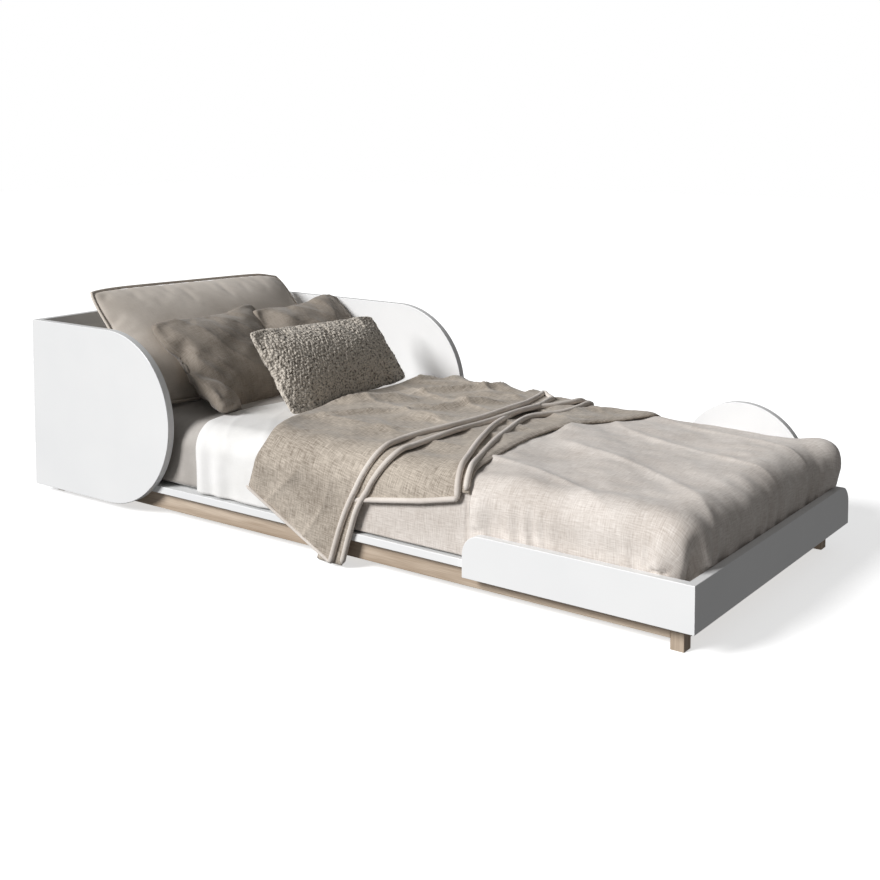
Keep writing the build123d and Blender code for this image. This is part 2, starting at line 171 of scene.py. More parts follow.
def wood(axis, dark, light):
    """Straight-grained wood whose grain runs along axis 0, 1 or 2."""

    def build(tree):
        place = add_node(tree, "ShaderNodeTexCoord").outputs["Object"]
        grain = tuple(1.2 if i == axis else 26.0 for i in range(3))
        pores = tuple(14.0 if i == axis else 520.0 for i in range(3))
        broad = speckle(tree, place, grain, 1.0, 4.0, 0.65)
        fine = speckle(tree, place, pores, 1.0, 2.0)
        coarse_share = combine(tree, "MULTIPLY", broad, 0.72)
        figure = combine(tree, "ADD", coarse_share, combine(tree, "MULTIPLY", fine, 0.28))
        middle = tuple((a + b) / 2 for a, b in zip(dark, light))
        colour = tint(tree, figure, [(0.34, dark), (0.5, middle), (0.64, light)])
        return colour, between(tree, fine, 0.48, 0.66), fine, 0.00012

    return build


def cloth(dark, light, slub=0.6, weave=1.6, bump=0.0005, rough=(0.78, 0.95), streak=36.0, tone=0.12):
    """Woven cloth: thread ribs, uneven slubs both ways and a slow change of tone."""

    def build(tree):
        place = add_node(tree, "ShaderNodeUVMap", uv_map="weave").outputs[0]
        warp = speckle(tree, place, (streak, 460.0, 1), 1.0, 3.0, 0.6)
        weft = speckle(tree, place, (460.0, streak, 1), 1.0, 3.0, 0.6)
        slubs = combine(tree, "MULTIPLY", combine(tree, "ADD", warp, weft), 0.5)
        ribs = []
        for direction in ("X", "Y"):
            rib = add_node(tree, "ShaderNodeTexWave", bands_direction=direction)
            rib.inputs["Scale"].default_value = math.pi / (10 * weave * MM)
            rib.inputs["Distortion"].default_value = 0.6
            tree.links.new(place, rib.inputs["Vector"])
            ribs.append(rib.outputs["Fac"])
        threads = combine(tree, "MULTIPLY", ribs[0], ribs[1])
        cloud = speckle(tree, place, (1, 1, 1), 7.0)
        mottle = combine(tree, "MULTIPLY", slubs, slub)
        plain = combine(tree, "ADD", mottle, 0.5 - 0.5 * slub)
        drift = between(tree, cloud, -tone, tone)
        change = combine(tree, "ADD", drift, combine(tree, "MULTIPLY", threads, 0.06))
        shown = combine(tree, "ADD", plain, change)
        colour = tint(tree, shown, [(0.34, dark), (0.68, light)])
        height = combine(tree, "ADD", combine(tree, "MULTIPLY", threads, 0.35), slubs)
        return colour, between(tree, slubs, rough[1], rough[0]), height, bump

    return build


def loops(dark, light):
    """Boucle: small curled loops, with painted shade darkening the gaps between them."""

    def build(tree):
        place = add_node(tree, "ShaderNodeUVMap", uv_map="weave").outputs[0]
        wander = add_node(tree, "ShaderNodeTexNoise")
        wander.inputs["Scale"].default_value = 90.0
        tree.links.new(place, wander.inputs["Vector"])
        shift = add_node(tree, "ShaderNodeVectorMath", operation="MULTIPLY_ADD")
        shift.inputs[1].default_value = (0.012, 0.012, 0.012)
        tree.links.new(wander.outputs["Color"], shift.inputs[0])
        tree.links.new(place, shift.inputs[2])
        curls = add_node(tree, "ShaderNodeTexVoronoi", feature="F1")
        curls.inputs["Scale"].default_value = 210.0
        tree.links.new(shift.outputs[0], curls.inputs["Vector"])
        gaps = curls.outputs["Distance"]
        fine = speckle(tree, place, (1, 1, 1), 900.0)
        gap_depth_and_shade = combine(tree, "ADD", gaps, combine(tree, "MULTIPLY", fine, 0.35))
        value = combine(tree, "SUBTRACT", 1.0, gap_depth_and_shade)
        # The colour darkens with gap depth: painted shade in the gaps between the loops, on top of the
        # bump.
        colour = tint(tree, value, [(0.02, dark), (0.30, shade(light, 0.85)), (0.62, light)])
        return colour, between(tree, fine, 0.86, 0.98), value, 0.0022

    return build


def metal(tree):
    """Dull zinc-plated steel."""
    place = add_node(tree, "ShaderNodeTexCoord").outputs["Object"]
    fine = speckle(tree, place, (1, 1, 1), 240.0)
    colour = tint(tree, fine, [(0.35, (0.46, 0.47, 0.48)), (0.65, (0.62, 0.63, 0.64))])
    return colour, between(tree, fine, 0.3, 0.5), fine, 0.00006


FUZZ = {"Sheen Weight": 0.25, "Sheen Roughness": 0.45, "Specular IOR Level": 0.25}
OAK = ((0.33, 0.24, 0.165), (0.64, 0.53, 0.42))
PINE = ((0.60, 0.42, 0.22), (0.80, 0.64, 0.42))
BEECH = ((0.62, 0.44, 0.28), (0.76, 0.58, 0.42))
BEDSPREAD = ((0.50, 0.44, 0.39), (0.84, 0.785, 0.735))
THROW = ((0.24, 0.20, 0.16), (0.60, 0.53, 0.45))
PIPING = ((0.60, 0.54, 0.485), (0.80, 0.74, 0.685))
CUSHION = ((0.61, 0.545, 0.475), (0.77, 0.70, 0.625))
PILLOW = ((0.20, 0.168, 0.136), (0.38, 0.33, 0.28))
# The boucle's dark colour is painted shade for the gaps between its loops.
BOUCLE = ((0.20, 0.172, 0.142), (0.78, 0.71, 0.62))
TICKING = ((0.66, 0.65, 0.62), (0.84, 0.83, 0.80))
TAUPE = ((0.36, 0.33, 0.30), (0.50, 0.47, 0.44))
WHITE = ((0.78, 0.77, 0.75), (0.90, 0.89, 0.88))
FINE = {"slub": 0.3, "weave": 0.9, "bump": 0.00015}
COARSE = {"slub": 1.3, "weave": 1.8, "bump": 0.0005, "streak": 40.0, "tone": 0.06}
finishes = {
    "white_lacquer": surface("white_lacquer", lacquer, {"Specular IOR Level": 0.4}),
    "zinc_steel": surface("zinc_steel", metal, {"Metallic": 1.0}),
    "beech": surface("beech", wood(2, *BEECH), {}),
    "ticking": surface("mattress_ticking", cloth(*TICKING), FUZZ),
    "taupe_sheet": surface("taupe_sheet", cloth(*TAUPE, **FINE), FUZZ),
    "white_sheet": surface("white_sheet", cloth(*WHITE, **FINE), FUZZ),
    "bedspread": surface("linen_bedspread", cloth(*BEDSPREAD, slub=0.9, bump=0.0005, tone=0.06), FUZZ),
    "throw": surface("linen_throw", cloth(*THROW, **COARSE), FUZZ),
    "piping": surface("throw_piping", cloth(*PIPING, slub=0.7, weave=1.2, bump=0.0003), FUZZ),
    "cushion": surface("cushion_cloth", cloth(*CUSHION, slub=0.5, weave=1.0, bump=0.0002), FUZZ),
    "pillow_linen": surface("pillow_linen", cloth(*PILLOW, slub=1.0, weave=1.5, bump=0.0005), FUZZ),
    "boucle": surface("boucle", loops(*BOUCLE), FUZZ),
}
for axis, direction in enumerate("xyz"):
    finishes[f"oak_{direction}"] = surface(f"light_oak_{direction}", wood(axis, *OAK), {})
    finishes[f"pine_{direction}"] = surface(f"pine_{direction}", wood(axis, *PINE), {})


def finish_of(name):
    """The finish of a carried-over CAD node."""
    if name.endswith(("_guard", "_panel", "_board")):
        return "white_lacquer"
    if name.startswith("slat_") and name != "slat_screws":
        return "pine_y"
    if name.endswith("_ledger") or name == "centre_beam":
        return "pine_x"
    if name.startswith("centre_leg_") and name != "centre_leg_bolts":
        return "pine_z"
    if name.endswith("cross_rail"):
        return "oak_y"
    if name.endswith("oak_rail"):
        return "oak_x"
    if name.endswith("_leg"):
        return "oak_z"
    if name == "wood_dowels":
        return "beech"
    return "zinc_steel"


for name, item in nodes.items():
    for material_slot in item.material_slots:
        material_slot.material = finishes[finish_of(name)]


# ---- Smooth noise and mesh building ----
def smooth(value, start, end):
    """0 before start, 1 after end, and an even S between them."""
    t = np.clip((value - start) / (end - start), 0.0, 1.0)
    return t * t * (3 - 2 * t)


def waves(x, y, wavelength, seed, count=12, heading=None, spread=math.pi):
    """Smooth noise from about -1 to 1: plane waves with chosen or random headings."""
    random = np.random.default_rng(seed)
    total = np.zeros(np.shape(x))
    for _ in range(count):
        turn = random.uniform(-spread, spread) + (heading or 0.0)
        size = wavelength * random.uniform(0.65, 1.6)
        phase = random.uniform(0, 2 * math.pi)
        total = total + np.sin((x * math.cos(turn) + y * math.sin(turn)) * 2 * math.pi / size + phase)
    return total / math.sqrt(count)


def creases(x, y, wavelength, seed, heading=None, spread=math.pi, sharp=2.0):
    """Narrow raised creases, 0 to 1."""
    value = np.abs(waves(x, y, wavelength, seed, 9, heading, spread))
    return np.exp(-sharp * value * 2.2)


def make_mesh(name, points, faces, uvs, finish):
    """A smooth-shaded mesh object from points in millimetres; uvs are per vertex, in metres."""
    mesh = bpy.data.meshes.new(name)
    mesh.from_pydata((np.asarray(points) * MM).tolist(), [], faces)
    layer = mesh.uv_layers.new(name="weave")
    loop_vertex = np.zeros(len(mesh.loops), np.int32)
    mesh.loops.foreach_get("vertex_index", loop_vertex)
    layer.data.foreach_set("uv", np.asarray(uvs, np.float32)[loop_vertex].ravel())
    mesh.polygons.foreach_set("use_smooth", [True] * len(mesh.polygons))
    mesh.materials.append(finish)
    mesh.update()
    item = bpy.data.objects.new(name, mesh)
    bpy.context.scene.collection.objects.link(item)
    return item


def quad_sheet(name, outer, inner, flat, finish):
    """A thin closed sheet from two grids of points (rows, columns, 3) and its flat coordinates."""
    rows, columns = outer.shape[:2]
    count = rows * columns
    index = np.arange(count).reshape(rows, columns)
    quads = np.stack([index[:-1, :-1], index[1:, :-1], index[1:, 1:], index[:-1, 1:]], -1).reshape(-1, 4)
    faces = quads.tolist() + (quads[:, ::-1] + count).tolist()
    rim = list(index[:, 0]) + list(index[-1, 1:]) + list(index[-2::-1, -1]) + list(index[0, -2:0:-1])
    for a, b in zip(rim, rim[1:] + rim[:1]):
        faces.append([int(b), int(a), int(a) + count, int(b) + count])
    points = np.concatenate([outer.reshape(-1, 3), inner.reshape(-1, 3)])
    uvs = np.concatenate([flat.reshape(-1, 2)] * 2) * MM
    return make_mesh(name, points, faces, uvs, finish)


def smooth_path(points, spacing):
    """A Catmull-Rom curve through points, resampled at an even spacing."""
    points = np.asarray(points, float)
    padded = np.vstack([2 * points[0] - points[1], points, 2 * points[-1] - points[-2]])
    dense = []
    for i in range(1, len(padded) - 2):
        p0, p1, p2, p3 = padded[i - 1 : i + 3]
        t = np.linspace(0, 1, 24, endpoint=False)[:, None]
        square = 2 * p0 - 5 * p1 + 4 * p2 - p3
        cube = 3 * p1 - p0 - 3 * p2 + p3
        dense.append(0.5 * (2 * p1 + (p2 - p0) * t + square * t**2 + cube * t**3))
    dense = np.vstack([*dense, points[-1:]])
    run = np.concatenate([[0], np.cumsum(np.linalg.norm(np.diff(dense, axis=0), axis=1))])
    stops = np.linspace(0, run[-1], max(2, int(run[-1] / spacing) + 1))
    return np.stack([np.interp(stops, run, dense[:, k]) for k in range(points.shape[1])], -1)


def tube(name, path, radius, finish, closed=False, sides=10):
    """A round cord of cloth along a path of points."""
    path = np.asarray(path, float)
    if closed:
        along = np.roll(path, -1, 0) - np.roll(path, 1, 0)
    else:
        along = np.gradient(path, axis=0)
    along /= np.linalg.norm(along, axis=1)[:, None]
    side = np.cross(along[0], (0.3, 0.2, 1.0))
    rings, uvs, run = [], [], 0.0
    for i, (point, ahead) in enumerate(zip(path, along)):
        side = side - ahead * (side @ ahead)
        side = side / np.linalg.norm(side)
        other = np.cross(ahead, side)
        run += np.linalg.norm(point - path[i - 1]) if i else 0.0
        end_scale = 1.0 if closed or 0 < i < len(path) - 1 else 0.55
        for k in range(sides):
            angle = 2 * math.pi * k / sides
            rings.append(point + radius * end_scale * (math.cos(angle) * side + math.sin(angle) * other))
            uvs.append((run * MM, angle * radius * MM))
    faces = []
    turns = len(path) if closed else len(path) - 1
    for i in range(turns):
        j = (i + 1) % len(path)
        for k in range(sides):
            n = (k + 1) % sides
            faces.append([i * sides + k, i * sides + n, j * sides + n, j * sides + k])
    if not closed:
        faces.append(list(range(sides))[::-1])
        faces.append([(len(path) - 1) * sides + k for k in range(sides)])
    return make_mesh(name, rings, faces, uvs, finish)


# ---- The bedding's base surface ----
def drape(x, y, lift):
    """Points on the bed for flat cloth coordinates: level on top, over the rounded edge, then down."""
    lift = np.broadcast_to(np.asarray(lift, float), np.shape(x))
    px, py = x - MID_X, y
    qx = np.abs(px) - (HALF_L - CORNER)
    qy = np.abs(py) - (HALF_W - CORNER)
    out_x, out_y = np.maximum(qx, 0), np.maximum(qy, 0)
    reach = np.hypot(out_x, out_y)
    distance = reach + np.minimum(np.maximum(qx, qy), 0) - CORNER
    corner = (qx > 0) & (qy > 0)
    safe = np.where(reach > 0, reach, 1.0)
    nx = np.where(corner, out_x / safe, (qx > qy).astype(float)) * np.sign(px)
    ny = np.where(corner, out_y / safe, (qx <= qy).astype(float)) * np.sign(py)
    past = np.maximum(distance + EDGE, 0.0)
    angle = np.minimum(past / EDGE, math.pi / 2)
    drop = np.maximum(past - EDGE_ARC, 0.0)
    outward = EDGE * np.sin(angle) - past + lift * np.sin(angle)
    z = BED_TOP - EDGE * (1 - np.cos(angle)) - drop + lift * np.cos(angle)
    return np.stack([x + nx * outward, y + ny * outward, z], -1), past


def side_flat(z):
    """The flat coordinate, past the start of the rounded edge, that hangs down to height z."""
    return HALF_W - EDGE + EDGE_ARC + (BED_TOP - EDGE - z)


def quilted_height(x, y):
    """The shared soft undulation of the made-up bed."""
    crown = 5.0 * (1 - (y / HALF_W) ** 2)
    broad = 3.0 * waves(x, y, 420.0, seed=5)
    return np.clip(crown + broad, 0.0, 12.0) * (1 - smooth(past_edge(x, y), 20, 90))


def past_edge(x, y):
    """How far a flat point is past the start of the bed's rounded edge."""
    return drape(x, y, 0.0)[1]


def fitted_wrinkles(x, y):
    """The fitted sheet's height: pull lines near the edges and small puckers at the hem."""
    past = past_edge(x, y)
    pull = 1.2 * creases(x, y, 240.0, seed=11, heading=0.4, spread=0.5)
    pull += 0.8 * waves(x, y, 300.0, seed=12)
    pucker = 0.9 * np.sin(x / 9.0 + 2 * np.sin(x / 57.0)) * smooth(past, 60, 190)
    return quilted_height(x, y) + np.clip(pull * smooth(past, 190, 20) + pucker, -0.8, 2.2)


def bed_grid(x0, x1, y0, y1, step):
    """Flat coordinates on an even grid."""
    columns = np.linspace(x0, x1, int((x1 - x0) / step) + 1)
    rows = np.linspace(y0, y1, int((y1 - y0) / step) + 1)
    return np.meshgrid(columns, rows, indexing="ij")


def keep_inside_boards(points, inner=0.0):
    """Holds cloth inside the low boards and panels beside the mattress, its back face further in."""
    x, y, z = points[..., 0], points[..., 1], points[..., 2]
    near_board = (x > NEAR_BOARD_START) & (z < LOW_BOARD_TOP)
    y = np.where(near_board, np.maximum(y, inner - BOARD_Y), y)
    foot_board = (x > FOOT_BOARD_START) & (z < LOW_BOARD_TOP)
    x = np.where(foot_board, np.minimum(x, BOARD_X - inner), x)
    disc = (x > DISC_REACH[0]) & (x < DISC_REACH[1]) & (z < DISC_TOP)
    y = np.where(disc | (x < FAR_GUARD_END), np.minimum(y, BOARD_Y - inner), y)
    near_guard = (x < NEAR_GUARD_END) & (z < HEAD_TOP)
    y = np.where(near_guard, np.maximum(y, inner - BOARD_Y), y)
    x = np.maximum(x, inner - BOARD_X)
    return np.stack([x, y, z], -1)


# ---- Mattress and fitted sheet ----
CORNER_POINTS = 40


def outline(inset):
    """A closed rounded-rectangle outline in plan."""
    radius = max(CORNER - inset, 6.0)
    points = []
    for cx, cy, start in ((1, 1, 0), (-1, 1, 90), (-1, -1, 180), (1, -1, 270)):
        for step in range(CORNER_POINTS):
            angle = math.radians(start + 90 * step / (CORNER_POINTS - 1))
            x = MID_X + cx * (HALF_L - inset - radius) + radius * math.cos(angle)
            y = cy * (HALF_W - inset - radius) + radius * math.sin(angle)
            points.append((x, y))
    return np.array(points)


def make_mattress():
    """The foam block in its ticking, with a corded seam round each edge."""
    height = BED_TOP - BED_BOTTOM
    shape = [(HALF_W - 8, 0.0), (200.0, 0.0), (60.0, 0.5), (26.0, 2.0), (9.0, 7.0), (4.0, 12.0)]
    shape += [(-0.5, 15.0), (-0.5, 19.0), (4.0, 23.0), (3.0, 34.0), (1.5, height / 2)]
    for step in range(10):
        angle = math.radians(10 * step)
        shape.append((EDGE * (1 - math.cos(angle)) + 1.5, height - EDGE * (1 - math.sin(angle))))
    shape += [(120.0, height), (HALF_W - 8, height)]
    rings, uvs = [], []
    run = 0.0
    for number, (inset, z) in enumerate(shape):
        ring = outline(inset + 1.0)
        if number:
            run += math.hypot(inset - shape[number - 1][0], z - shape[number - 1][1])
        lengths = np.concatenate([[0], np.cumsum(np.linalg.norm(np.diff(ring, axis=0), axis=1))])
        rings.append(np.column_stack([ring, np.full(len(ring), BED_BOTTOM + z - 1.0)]))
        uvs.append(np.column_stack([lengths, np.full(len(ring), run)]) * MM)
    size = len(rings[0])
    faces = []
    for i in range(len(rings) - 1):
        for k in range(size):
            n = (k + 1) % size
            faces.append([i * size + k, i * size + n, (i + 1) * size + n, (i + 1) * size + k])
    faces.append(list(range(size))[::-1])
    faces.append([(len(rings) - 1) * size + k for k in range(size)])
    return make_mesh("foam_mattress", np.vstack(rings), faces, np.vstack(uvs), finishes["ticking"])


mattress = make_mattress()
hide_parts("mattress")
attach(mattress, "bedding")


def cover(name, x, y, lift, height, thickness, finish, flat=None, hem=None):
    """A sheet over the bed: flat coordinates, layer lift, wrinkle height and cloth thickness.

    With a hem height, the corners are gathered so that the hem stays at that height all round.
    """
    outer, _ = drape(x, y, lift + height)
    inner, _ = drape(x, y, lift + height - thickness)
    if hem is not None:
        for grid in (outer, inner):
            low = grid[..., 2] < hem
            grid[..., 2] = np.where(low, hem + 0.02 * (grid[..., 2] - hem), grid[..., 2])
    chart = np.stack([x, y], -1) if flat is None else flat
    inside = keep_inside_boards(inner, thickness)
    return quad_sheet(name, keep_inside_boards(outer), inside, chart, finish)


skirt = side_flat(FITTED_HEM)
end_reach = HALF_L + (skirt - HALF_W)
gx, gy = bed_grid(-end_reach + MID_X, end_reach + MID_X, -skirt, skirt, 9.0)
fitted_height = fitted_wrinkles(gx, gy)
fitted = cover(
    "fitted_cover", gx, gy, FITTED_LIFT, fitted_height, FITTED_T, finishes["taupe_sheet"], hem=FITTED_HEM
)
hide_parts("fitted_sheet")
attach(fitted, "bedding")

# ---- White flat sheet turned down under the throw ----
sheet_skirt = side_flat(SHEET_HEM)
sx, sy = bed_grid(-345.0, 120.0, -sheet_skirt, sheet_skirt, 6.0)
slant = 26.0 * smooth(np.abs(sy), 150, 480) - 56.0 * smooth(-sy, -380, 330)
sx_bed = sx + slant * smooth(sx, 60, -345)
sheet_over = past_edge(sx_bed, sy)
hang = smooth(sheet_over, 30, 150)
fold_phase = 0.4 + sx_bed / 13.0 + 1.9 * np.sin(sx_bed / 47.0 + 1.0) + sy / 190.0
soft_folds = 3.6 * (1 + np.sin(fold_phase)) * (0.7 + 0.3 * np.sin(sx_bed / 31.0)) * hang
soft_folds *= smooth(sx_bed, -50, -90)
top_lines = 2.4 * creases(sx_bed, sy, 190.0, seed=21, heading=0.25, spread=0.35) * (1 - hang)
hem_band = 1.4 * smooth(sx, -318, -324)
sheet_height = fitted_wrinkles(sx_bed, sy) + soft_folds + top_lines + hem_band
white_sheet = cover(
    "turned_down_sheet", sx_bed, sy, SHEET_LIFT, sheet_height, SHEET_T, finishes["white_sheet"]
)
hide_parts("flat_sheet")
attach(white_sheet, "bedding")


# ---- Linen bedspread ----
PLEAT_X = 449.0
spread_skirt = side_flat(SPREAD_HEM - 2)
foot_reach = MID_X + HALF_L - EDGE + EDGE_ARC + (BED_TOP - EDGE - SPREAD_HEM - 4)
bx, by = bed_grid(-60.0, foot_reach, -spread_skirt, spread_skirt, 5.5)


def bedspread_height(x, y):
    """Wrinkles of the bedspread above its plain draped shape."""
    past = past_edge(x, y)
    hanging = smooth(past, 25, 170)
    near_side = (y < -300) & (past > 0)
    foot_side = smooth(x, 880, 960)
    rippled = smooth(x, PLEAT_X - 3, PLEAT_X + 3)
    ripple_x = x + 6.0 * np.sin(past / 46.0)
    side_ripple = np.sin(ripple_x / 7.6 + 2.3 * np.sin(ripple_x / 33.0) + 1.3 * np.sin(ripple_x / 91.0))
    side_ripple += 0.6 * np.sin(ripple_x / 17.0 + 1.1 * np.sin(ripple_x / 60.0 + 2.0))
    strength = 0.55 + 0.45 * np.sin(x / 71.0 + 0.6)
    side = np.clip(2.5 + 5.0 * side_ripple * strength, -2.5, 9.0) * hanging * rippled * (1 - foot_side)
    foot_ripple = np.sin(y / 11.5 + 1.9 * np.sin(y / 47.0 + 0.5)) + 0.7 * np.sin(y / 25.0 + past / 70.0)
    foot = np.clip(2.5 + 5.2 * foot_ripple, -2.5, 10.0) * hanging * foot_side
    top = 3.2 * waves(x, y, 210.0, seed=31, heading=1.15, spread=0.5)
    top += 7.5 * creases(x, y, 300.0, seed=33, heading=1.25, spread=0.35, sharp=1.4)
    top += 0.8 * waves(x, y, 70.0, seed=35, heading=1.2, spread=0.7)
    pleat = -8.0 * np.exp(-(((x - PLEAT_X + 2) / 4.0) ** 2)) * smooth(past, 30, 70) * near_side
    raised = smooth(x, PLEAT_X, PLEAT_X + 6) * smooth(x, PLEAT_X + 60, PLEAT_X + 12)
    pleat += 8.0 * raised * hanging * near_side
    bulge = 7.0 * smooth(past, 10, 70) * smooth(past, 150, 90) * foot_side
    return side + foot + top * (1 - 0.85 * smooth(past, 0, 90)) + pleat + bulge


def corner_gather(x, y):
    """The deep fold where side and foot drops meet, near corner and more gently at the far one."""
    ax = x - (MID_X + HALF_L - CORNER)
    turn = np.arctan2(ax, np.abs(y) - (HALF_W - CORNER))
    turn = np.where(ax > 0, turn, -1.0)
    past = past_edge(x, y)
    full = np.where(y < 0, 24.0, 46.0) * np.exp(-(((turn - 0.78) / 0.5) ** 2)) * smooth(past, 10, 70)
    slit = 34.0 * np.exp(-(((turn - 0.98) / 0.14) ** 2)) * smooth(past, 60, 120)
    slit -= 9.0 * np.exp(-(((turn - 1.0) / 0.05) ** 2)) * smooth(past, 80, 130)
    full += 8.0 * np.exp(-(((turn - 0.3) / 0.2) ** 2)) * smooth(past, 60, 130)
    return full - np.where(y < 0, slit, 0.25 * slit)


spread_height = quilted_height(bx, by) + bedspread_height(bx, by) + corner_gather(bx, by)
bedspread = cover(
    "bedspread_cover", bx, by, SPREAD_LIFT, spread_height, SPREAD_T, finishes["bedspread"], hem=SPREAD_HEM
)
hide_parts("bedspread")
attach(bedspread, "bedding")


# ---- Throw: a folded blanket laid across the bed ----
# Edges of its layers from the wall side to the entry side, in flat coordinates: x along the bed, y across
TOP_LEFT = [(-232, 384), (-238, 361), (-214, 220), (-226, 23), (-205, -120), (-172, -275)]
TOP_LEFT += [(-145, -362), (-161, -410), (-182, -472)]
TOP_RIGHT = [(185, 335), (205, 240), (220, 134), (222, -3), (217, -150), (198, -231), (190, -288)]
TOP_RIGHT += [(190, -350), (175, -393), (146, -440), (114, -508), (80, -606)]
DOUBLE_RIGHT = [(226, 312), (244, 215), (250, 95), (249, -37), (247, -190), (238, -290)]
DOUBLE_RIGHT += [(230, -350), (213, -385), (188, -420), (157, -467), (134, -530), (110, -608)]
SECOND_RIGHT = [(288, 372), (285, 320), (266, 255), (240, 190), (243, 106), (269, -25)]
SECOND_RIGHT += [(316, -142), (353, -238), (388, -320), (411, -366), (427, -406)]
SECOND_PAIR = [(312, 358), (318, 250), (300, 170), (286, 110), (294, 40), (338, -107)]
SECOND_PAIR += [(373, -213), (408, -316), (430, -361), (442, -396)]
UNDER_RIGHT = [(515, 384), (506, 330), (463, 226), (421, 138), (400, 39), (394, -72)]
UNDER_RIGHT += [(409, -204), (423, -301), (436, -353), (446, -394)]
SECOND_LEFT = [(95, 384), (100, 160), (110, -136), (90, -290), (60, -394), (30, -464)]


def shifted(edge, amount):
    """The same edge moved along the bed."""
    return [(x + amount, y) for x, y in edge]


def throw_height(x, y, extra, calm=1.0):
    """Soft rumples of the throw, stronger towards the far side; calm is 1 where an edge lies smooth."""
    inland = smooth(y, -400, -330)
    followed = np.clip(bedspread_height(x, y), -1, 10) * (1 - calm) + 6.0 * calm
    far_rumple = 0.25 + 0.75 * smooth(y, -300, 40) * smooth(y, 384, 330)
    rumple = 19.0 * creases(x, y, 230.0, seed=41, heading=2.2, spread=0.5, sharp=1.6) - 4.0
    rumple += 6.5 * waves(x, y, 120.0, seed=43, heading=2.2, spread=0.7)
    gentle = 1.6 * waves(x, y, 190.0, seed=45)
    gentle += 2.2 * creases(x, y, 330.0, seed=47, heading=0.9, spread=0.4)
    own = far_rumple * np.clip(rumple, -2.0, 21.0) + np.clip(gentle, -2.0, 4.0)
    return quilted_height(x, y) + followed * inland + extra * own * (1 - calm)


def fold_patch(name, left, right, lift, extra, step=5.5, roll=0.0):
    """One layer of the throw between two edges given in flat coordinates."""
    left = smooth_path(left, 6.0)
    right = smooth_path(right, 6.0)
    rows = int(max(len(left), len(right)) * 6.0 / step)
    t = np.linspace(0, 1, rows)
    lines = []
    for edge in (left, right):
        at = np.linspace(0, 1, len(edge))
        lines.append(np.stack([np.interp(t, at, edge[:, k]) for k in range(2)], -1))
    widest = np.abs(lines[1][:, 0] - lines[0][:, 0]).max()
    across = np.linspace(0, 1, max(4, int(widest / step)))
    share = across[None, :, None]
    flat = lines[0][:, None, :] * (1 - share) + lines[1][:, None, :] * share
    x, y = flat[..., 0], flat[..., 1]
    width = np.abs(lines[1][:, 0] - lines[0][:, 0])[:, None]
    from_left = across[None, :] * width
    from_right = (1 - across[None, :]) * width
    calm = np.maximum(smooth(from_left, 55, 0), smooth(from_right, 60, 5))
    height = throw_height(x, y, extra, calm)
    height = height - 7.0 * np.exp(-((from_left / 9.0) ** 2)) - roll * np.exp(-((from_right / 8.0) ** 2))
    chart_turn = math.radians(8.0)
    chart = np.stack(
        [
            x * math.cos(chart_turn) - y * math.sin(chart_turn),
            x * math.sin(chart_turn) + y * math.cos(chart_turn),
        ],
        -1,
    )
    return cover(name, x, y, lift, height, THROW_T, finishes["throw"], chart)


def edge_cord(name, edge, lift, radius, back=None):
    """Piping along an edge of the throw, and back along a second edge where one is given."""
    path = smooth_path(edge, 7.0)
    heights = np.full(len(path), lift)
    if back is not None:
        other = smooth_path(back[0], 7.0)
        path = np.vstack([path[::-1], other])
        heights = np.concatenate([heights, np.full(len(other), back[1])])
        path = smooth_path(path[::2], 7.0)
        heights = np.interp(np.linspace(0, 1, len(path)), np.linspace(0, 1, len(heights)), heights)
    points, _ = drape(path[:, 0], path[:, 1], heights + throw_height(path[:, 0], path[:, 1], 0.0))
    return tube(name, keep_inside_boards(points), radius, finishes["piping"])


# Radii of the piping along the folds and of the two hems
PIPING_R = 7.0
HEM_R = 4.0
SECOND_HEM_R = 6.5

# How far the hidden edge of a layer lies from the edge that shows
UNDER_TUCK = -150
DOUBLE_TUCK = -80
UNDER, SECOND, DOUBLE, TOP = (FOLD_LIFTS[key] for key in ("under", "second", "double", "top"))
under = fold_patch(
    "throw_under_fold", shifted(SECOND_RIGHT, UNDER_TUCK), UNDER_RIGHT, UNDER, 0.3, roll=5.0
)
second = fold_patch("throw_second_fold", SECOND_LEFT, SECOND_RIGHT, SECOND, 0.35)
double_left = shifted(DOUBLE_RIGHT, DOUBLE_TUCK)
double = fold_patch("throw_double_edge", double_left, DOUBLE_RIGHT, DOUBLE, 0.5)
top = fold_patch("throw_top_fold", TOP_LEFT, [(170, 384), *TOP_RIGHT], TOP, 1.0)
first_piping = edge_cord("throw_first_piping", TOP_RIGHT, TOP, PIPING_R, (DOUBLE_RIGHT, DOUBLE))
second_piping = edge_cord("throw_second_piping", SECOND_RIGHT, SECOND, PIPING_R, (SECOND_PAIR, UNDER))
hem_line = [TOP_LEFT[-1], (-51, -539), TOP_RIGHT[-1]]
hem_piping = edge_cord("throw_hem_piping", hem_line, TOP, HEM_R)
second_hem_line = [SECOND_LEFT[-1], (165, -447), (300, -426), SECOND_RIGHT[-1]]
second_hem = edge_cord("throw_second_hem", second_hem_line, SECOND, SECOND_HEM_R)
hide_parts("throw_blanket")
pipings = [first_piping, second_piping, hem_piping, second_hem]
for item in [under, second, double, top, *pipings]:
    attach(item, "bedding")


# ---- Pillows and the backrest cushion ----
def place(centre, tilt, turn, local):
    """Local pillow points (across, up, out) to the shared frame; tilt leans back from upright."""
    lean, spin = math.radians(tilt), math.radians(turn)
    across = np.array([-math.sin(spin), math.cos(spin), 0.0])
    out = np.array([math.cos(lean) * math.cos(spin), math.cos(lean) * math.sin(spin), math.sin(lean)])
    up = np.cross(out, across)
    return np.array(centre) + local @ np.stack([across, up, out])


